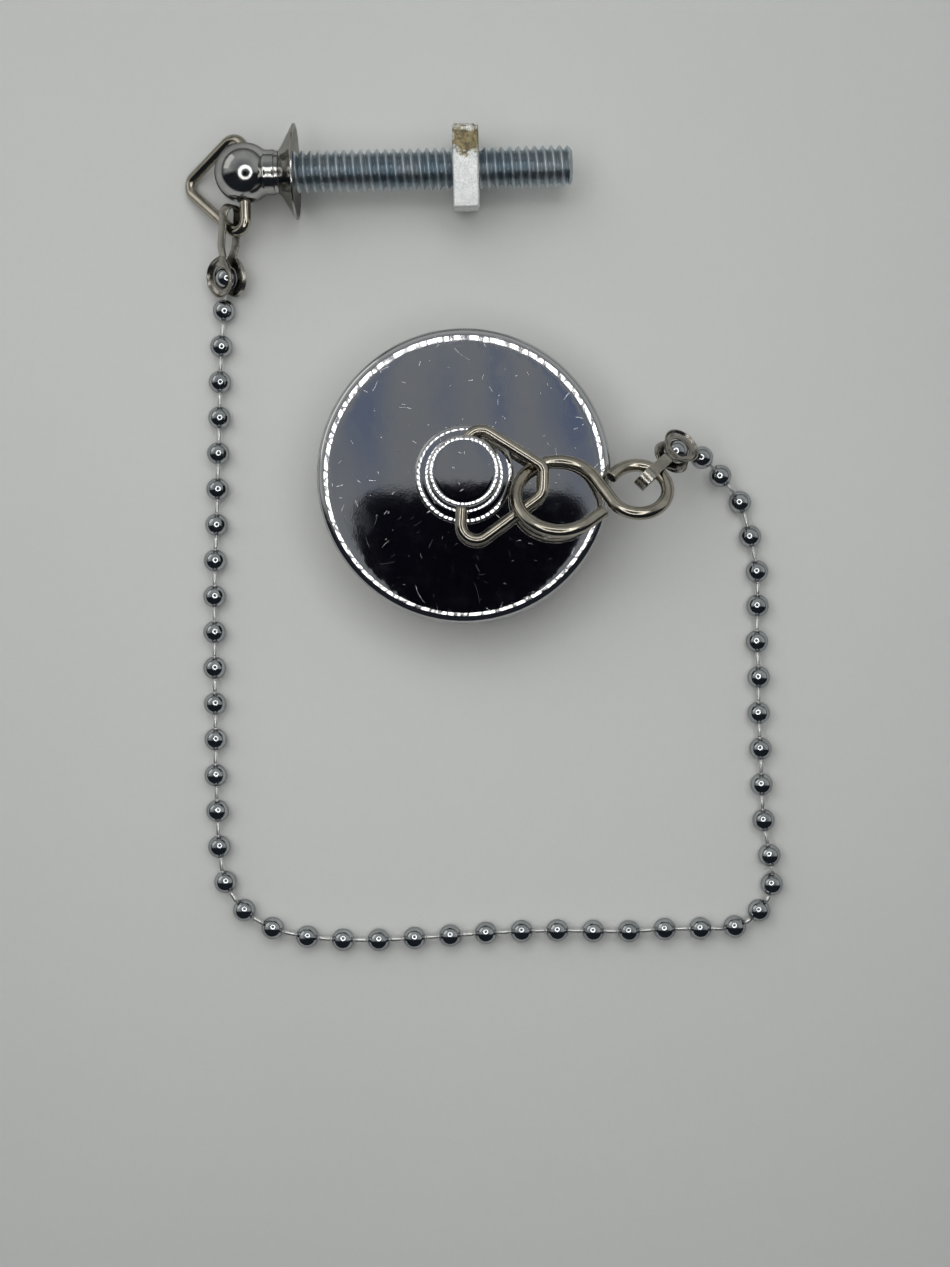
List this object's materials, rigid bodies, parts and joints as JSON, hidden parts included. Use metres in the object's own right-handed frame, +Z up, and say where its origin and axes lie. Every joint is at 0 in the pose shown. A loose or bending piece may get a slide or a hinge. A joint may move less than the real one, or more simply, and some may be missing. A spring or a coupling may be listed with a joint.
{
  "type": "basin plug with ball chain and stay",
  "caption": "Round chromed basin plug with a rubber stopper and knob, on a bead chain with wire bails, an S-hook, strip clasps and a ball-headed screw-in chain stay.",
  "frame": {"origin": "centre of the plug at the level of the surface it stands on", "axes": "+Z up through the knob; the bail and hook lie out along +X; the stay lies along +X at the +Y side"},
  "size_m": [0.0936, 0.1283, 0.0222],
  "materials": {
    "chrome": "polished chrome plate with fine scratches",
    "bead_chrome": "bright plated beads",
    "nickel_wire": "warm nickel-plated wire",
    "nickel_strip": "warm nickel-plated strip",
    "zinc_blue": "blue passivated zinc plate",
    "zinc_mottled": "mottled zinc plate",
    "washer_steel": "plain plated steel",
    "black_rubber": "matt moulded rubber"
  },
  "bodies": {
    "plug": {"plug_cap": "chrome", "plug_stopper": "black_rubber", "plug_backing_washer": "washer_steel", "plug_knob": "chrome"},
    "plug_bail": {"plug_bail": "nickel_wire"},
    "s_hook": {"s_hook": "nickel_wire"},
    "plug_clasp": {"plug_clasp": "nickel_strip"},
    "bead_01": {"bead_link_01": "bead_chrome"},
    "bead_02": {"bead_link_02": "bead_chrome"},
    "bead_03": {"bead_link_03": "bead_chrome"},
    "bead_04": {"bead_link_04": "bead_chrome"},
    "bead_05": {"bead_link_05": "bead_chrome"},
    "bead_06": {"bead_link_06": "bead_chrome"},
    "bead_07": {"bead_link_07": "bead_chrome"},
    "bead_08": {"bead_link_08": "bead_chrome"},
    "bead_09": {"bead_link_09": "bead_chrome"},
    "bead_10": {"bead_link_10": "bead_chrome"},
    "bead_11": {"bead_link_11": "bead_chrome"},
    "bead_12": {"bead_link_12": "bead_chrome"},
    "bead_13": {"bead_link_13": "bead_chrome"},
    "bead_14": {"bead_link_14": "bead_chrome"},
    "bead_15": {"bead_link_15": "bead_chrome"},
    "bead_16": {"bead_link_16": "bead_chrome"},
    "bead_17": {"bead_link_17": "bead_chrome"},
    "bead_18": {"bead_link_18": "bead_chrome"},
    "bead_19": {"bead_link_19": "bead_chrome"},
    "bead_20": {"bead_link_20": "bead_chrome"},
    "bead_21": {"bead_link_21": "bead_chrome"},
    "bead_22": {"bead_link_22": "bead_chrome"},
    "bead_23": {"bead_link_23": "bead_chrome"},
    "bead_24": {"bead_link_24": "bead_chrome"},
    "bead_25": {"bead_link_25": "bead_chrome"},
    "bead_26": {"bead_link_26": "bead_chrome"},
    "bead_27": {"bead_link_27": "bead_chrome"},
    "bead_28": {"bead_link_28": "bead_chrome"},
    "bead_29": {"bead_link_29": "bead_chrome"},
    "bead_30": {"bead_link_30": "bead_chrome"},
    "bead_31": {"bead_link_31": "bead_chrome"},
    "bead_32": {"bead_link_32": "bead_chrome"},
    "bead_33": {"bead_link_33": "bead_chrome"},
    "bead_34": {"bead_link_34": "bead_chrome"},
    "bead_35": {"bead_link_35": "bead_chrome"},
    "bead_36": {"bead_link_36": "bead_chrome"},
    "bead_37": {"bead_link_37": "bead_chrome"},
    "bead_38": {"bead_link_38": "bead_chrome"},
    "bead_39": {"bead_link_39": "bead_chrome"},
    "bead_40": {"bead_link_40": "bead_chrome"},
    "bead_41": {"bead_link_41": "bead_chrome"},
    "bead_42": {"bead_link_42": "bead_chrome"},
    "bead_43": {"bead_link_43": "bead_chrome"},
    "bead_44": {"bead_link_44": "bead_chrome"},
    "bead_45": {"bead_link_45": "bead_chrome"},
    "bead_46": {"bead_link_46": "bead_chrome"},
    "bead_47": {"bead_link_47": "bead_chrome"},
    "stay_clasp": {"stay_clasp": "nickel_strip"},
    "stay_bail": {"stay_bail": "nickel_wire"},
    "stay": {"stay_ball": "chrome", "stay_bolt": "zinc_blue"},
    "stay_flange": {"stay_flange": "chrome"},
    "stay_nut": {"stay_nut": "zinc_mottled"}
  },
  "joints": [
    {"name": "bail_swing", "type": "hinge", "parent": "plug", "child": "plug_bail", "pos_m": [0, 0, 0.0173], "axis": [-0.0611, -0.9981, 0], "range_deg": [0, 165]},
    {"name": "hook_swing", "type": "hinge", "parent": "plug_bail", "child": "s_hook", "pos_m": [0.01276, -0.00322, 0.01844], "axis": [0.1095, 0.5699, 0.8144], "range_deg": [-60, 6]},
    {"name": "clasp_swing", "type": "hinge", "parent": "s_hook", "child": "plug_clasp", "pos_m": [0.0284, 0.00055, 0.0153], "axis": [0.7603, -0.5502, 0.3452], "range_deg": [-35, 40]},
    {"name": "stay_bail_swing", "type": "hinge", "parent": "stay_clasp", "child": "stay_bail", "pos_m": [-0.0355, 0.0382, 0.0059], "axis": [0.7674, -0.3767, 0.5189], "range_deg": [-20, 60]},
    {"name": "stay_swing", "type": "hinge", "parent": "stay_bail", "child": "stay", "pos_m": [-0.0337, 0.04683, 0.0073], "axis": [-0.0204, 0.9998, 0], "range_deg": [-150, 80]},
    {"name": "flange_slide", "type": "slide", "parent": "stay", "child": "stay_flange", "axis": [0.9998, 0.0204, 0], "range_m": [0, 0.0235]},
    {"name": "nut_travel", "type": "slide", "parent": "stay", "child": "stay_nut", "axis": [0.9998, 0.0204, 0], "range_m": [-0.0075, 0.0142]},
    {"name": "chain_01", "type": "hinge", "parent": "plug_clasp", "child": "bead_01", "pos_m": [0.03308, 0.00372, 0.00952], "axis": [0.6171, -0.0382, 0.7859], "range_deg": [-9.5, 11.4]},
    {"name": "chain_02", "type": "hinge", "parent": "bead_01", "child": "bead_02", "pos_m": [0.0373, 0.00291, 0.00594], "axis": [0.6243, 0.7812, 0], "range_deg": [-11.4, 10.4]},
    {"name": "chain_03", "type": "hinge", "parent": "bead_02", "child": "bead_03", "pos_m": [0.04064, -0.00005, 0.00237], "axis": [-0.1192, 0.135, -0.9836], "range_deg": [-17.1, 10]},
    {"name": "chain_04", "type": "hinge", "parent": "bead_03", "child": "bead_04", "pos_m": [0.04361, -0.00426, 0.00161], "axis": [-0.9716, -0.2368, 0], "range_deg": [-19, 4.3]},
    {"name": "chain_05", "type": "hinge", "parent": "bead_04", "child": "bead_05", "pos_m": [0.04495, -0.00969, 0.00175], "axis": [0, 0, 1], "range_deg": [-16.1, 19]},
    {"name": "chain_06", "type": "hinge", "parent": "bead_05", "child": "bead_06", "pos_m": [0.04591, -0.01533, 0.00175], "axis": [1, -0.0092, 0], "range_deg": [-19, 19]},
    {"name": "chain_07", "type": "hinge", "parent": "bead_06", "child": "bead_07", "pos_m": [0.04585, -0.02057, 0.00175], "axis": [0, 0, -1], "range_deg": [-19, 16.6]},
    {"name": "chain_08", "type": "hinge", "parent": "bead_07", "child": "bead_08", "pos_m": [0.04579, -0.02617, 0.00175], "axis": [-0.9976, -0.0686, 0], "range_deg": [-18.1, 18.1]},
    {"name": "chain_09", "type": "hinge", "parent": "bead_08", "child": "bead_09", "pos_m": [0.04607, -0.03175, 0.00175], "axis": [0, 0, 1], "range_deg": [-15.7, 19]},
    {"name": "chain_10", "type": "hinge", "parent": "bead_09", "child": "bead_10", "pos_m": [0.04605, -0.03735, 0.00175], "axis": [0.9977, 0.0682, 0], "range_deg": [-18.1, 18.1]},
    {"name": "chain_11", "type": "hinge", "parent": "bead_10", "child": "bead_11", "pos_m": [0.04637, -0.04294, 0.00175], "axis": [0, 0, -1], "range_deg": [-19, 17.1]},
    {"name": "chain_12", "type": "hinge", "parent": "bead_11", "child": "bead_12", "pos_m": [0.04653, -0.04853, 0.00175], "axis": [-0.999, -0.044, 0], "range_deg": [-18.1, 18.1]},
    {"name": "chain_13", "type": "hinge", "parent": "bead_12", "child": "bead_13", "pos_m": [0.04692, -0.05408, 0.00175], "axis": [0, 0, 1], "range_deg": [-19, 12.8]},
    {"name": "chain_14", "type": "hinge", "parent": "bead_13", "child": "bead_14", "pos_m": [0.0479, -0.05997, 0.00175], "axis": [0.9556, 0.2946, 0], "range_deg": [-19, 19]},
    {"name": "chain_15", "type": "hinge", "parent": "bead_14", "child": "bead_15", "pos_m": [0.04781, -0.06451, 0.00175], "axis": [0, 0, -1], "range_deg": [-19, 15.1]},
    {"name": "chain_16", "type": "hinge", "parent": "bead_15", "child": "bead_16", "pos_m": [0.0451, -0.06828, 0.00175], "axis": [-0.5533, 0.833, 0], "range_deg": [-19, 19]},
    {"name": "chain_17", "type": "hinge", "parent": "bead_16", "child": "bead_17", "pos_m": [0.04107, -0.07009, 0.00175], "axis": [0, 0, 1], "range_deg": [-1.4, 19]},
    {"name": "chain_18", "type": "hinge", "parent": "bead_17", "child": "bead_18", "pos_m": [0.03578, -0.06999, 0.00175], "axis": [0.009, -1, 0], "range_deg": [-18.1, 18.1]},
    {"name": "chain_19", "type": "hinge", "parent": "bead_18", "child": "bead_19", "pos_m": [0.03019, -0.07011, 0.00175], "axis": [0, 0, -1], "range_deg": [-16.1, 13]},
    {"name": "chain_20", "type": "hinge", "parent": "bead_19", "child": "bead_20", "pos_m": [0.0246, -0.07042, 0.00175], "axis": [0.0147, 0.9999, 0], "range_deg": [-18.1, 18.1]},
    {"name": "chain_21", "type": "hinge", "parent": "bead_20", "child": "bead_21", "pos_m": [0.019, -0.07035, 0.00175], "axis": [0, 0, 1], "range_deg": [-13.5, 19]},
    {"name": "chain_22", "type": "hinge", "parent": "bead_21", "child": "bead_22", "pos_m": [0.0134, -0.07028, 0.00175], "axis": [0.0205, -0.9998, 0], "range_deg": [-18.1, 18.1]},
    {"name": "chain_23", "type": "hinge", "parent": "bead_22", "child": "bead_23", "pos_m": [0.00781, -0.07043, 0.00175], "axis": [0, 0, -1], "range_deg": [-17.1, 13]},
    {"name": "chain_24", "type": "hinge", "parent": "bead_23", "child": "bead_24", "pos_m": [0.00221, -0.07073, 0.00175], "axis": [-0.0772, 0.997, 0], "range_deg": [-18.1, 18.1]},
    {"name": "chain_25", "type": "hinge", "parent": "bead_24", "child": "bead_25", "pos_m": [-0.00337, -0.07115, 0.00175], "axis": [0, 0, 1], "range_deg": [-13.1, 18.1]},
    {"name": "chain_26", "type": "hinge", "parent": "bead_25", "child": "bead_26", "pos_m": [-0.00895, -0.07152, 0.00175], "axis": [0.0577, -0.9983, 0], "range_deg": [-18.1, 18.1]},
    {"name": "chain_27", "type": "hinge", "parent": "bead_26", "child": "bead_27", "pos_m": [-0.01455, -0.07177, 0.00175], "axis": [0, 0, -1], "range_deg": [-19, 11.4]},
    {"name": "chain_28", "type": "hinge", "parent": "bead_27", "child": "bead_28", "pos_m": [-0.02014, -0.07165, 0.00175], "axis": [0.0655, 0.9979, 0], "range_deg": [-18.1, 18.1]},
    {"name": "chain_29", "type": "hinge", "parent": "bead_28", "child": "bead_29", "pos_m": [-0.02572, -0.07107, 0.00175], "axis": [0, 0, 1], "range_deg": [-11.1, 19]},
    {"name": "chain_30", "type": "hinge", "parent": "bead_29", "child": "bead_30", "pos_m": [-0.03118, -0.06943, 0.00175], "axis": [-0.5156, -0.8568, 0], "range_deg": [-19, 19]},
    {"name": "chain_31", "type": "hinge", "parent": "bead_30", "child": "bead_31", "pos_m": [-0.03557, -0.06604, 0.00175], "axis": [0, 0, -1], "range_deg": [-14.7, 10.4]},
    {"name": "chain_32", "type": "hinge", "parent": "bead_31", "child": "bead_32", "pos_m": [-0.03783, -0.06161, 0.00175], "axis": [0.9925, 0.1223, 0], "range_deg": [-12.3, 12.3]},
    {"name": "chain_33", "type": "hinge", "parent": "bead_32", "child": "bead_33", "pos_m": [-0.03849, -0.05604, 0.00175], "axis": [0, 0, 1], "range_deg": [-13.8, 19]},
    {"name": "chain_34", "type": "hinge", "parent": "bead_33", "child": "bead_34", "pos_m": [-0.0387, -0.05045, 0.00175], "axis": [-0.9983, -0.0576, 0], "range_deg": [-18.1, 18.1]},
    {"name": "chain_35", "type": "hinge", "parent": "bead_34", "child": "bead_35", "pos_m": [-0.03896, -0.04486, 0.00175], "axis": [0, 0, -1], "range_deg": [-19, 16.1]},
    {"name": "chain_36", "type": "hinge", "parent": "bead_35", "child": "bead_36", "pos_m": [-0.03895, -0.03926, 0.00175], "axis": [0.9999, 0.0147, 0], "range_deg": [-18.1, 18.1]},
    {"name": "chain_37", "type": "hinge", "parent": "bead_36", "child": "bead_37", "pos_m": [-0.03903, -0.03367, 0.00175], "axis": [0, 0, 1], "range_deg": [-18.5, 18.1]},
    {"name": "chain_38", "type": "hinge", "parent": "bead_37", "child": "bead_38", "pos_m": [-0.03912, -0.02807, 0.00175], "axis": [-1, 0.0018, 0], "range_deg": [-18.1, 18.1]},
    {"name": "chain_39", "type": "hinge", "parent": "bead_38", "child": "bead_39", "pos_m": [-0.03911, -0.02248, 0.00175], "axis": [0, 0, -1], "range_deg": [-18.1, 18.5]},
    {"name": "chain_40", "type": "hinge", "parent": "bead_39", "child": "bead_40", "pos_m": [-0.03911, -0.01688, 0.00175], "axis": [0.9999, -0.0159, 0], "range_deg": [-18.1, 18.1]},
    {"name": "chain_41", "type": "hinge", "parent": "bead_40", "child": "bead_41", "pos_m": [-0.039, -0.01129, 0.00175], "axis": [0, 0, 1], "range_deg": [-17.1, 19]},
    {"name": "chain_42", "type": "hinge", "parent": "bead_41", "child": "bead_42", "pos_m": [-0.03878, -0.00569, 0.00175], "axis": [-0.9995, 0.0315, 0], "range_deg": [-18.1, 18.1]},
    {"name": "chain_43", "type": "hinge", "parent": "bead_42", "child": "bead_43", "pos_m": [-0.03862, -0.0001, 0.00175], "axis": [0, 0, -1], "range_deg": [-17.6, 18.5]},
    {"name": "chain_44", "type": "hinge", "parent": "bead_43", "child": "bead_44", "pos_m": [-0.0385, 0.00549, 0.00175], "axis": [0.9992, -0.0397, 0], "range_deg": [-18.1, 18.1]},
    {"name": "chain_45", "type": "hinge", "parent": "bead_44", "child": "bead_45", "pos_m": [-0.03832, 0.01107, 0.00175], "axis": [0, 0, 1], "range_deg": [-19, 17.1]},
    {"name": "chain_46", "type": "hinge", "parent": "bead_45", "child": "bead_46", "pos_m": [-0.03825, 0.01665, 0.00175], "axis": [-0.9993, 0.0376, 0], "range_deg": [-17.6, 17.6]},
    {"name": "chain_47", "type": "hinge", "parent": "bead_46", "child": "bead_47", "pos_m": [-0.038, 0.02222, 0.00175], "axis": [-0.0032, -0.04, -0.9992], "range_deg": [-19, 17.1]},
    {"name": "chain_48", "type": "hinge", "parent": "bead_47", "child": "stay_clasp", "pos_m": [-0.03748, 0.02817, 0.00193], "axis": [0.993, -0.1177, 0], "range_deg": [-13.3, 11.4]}
  ]
}
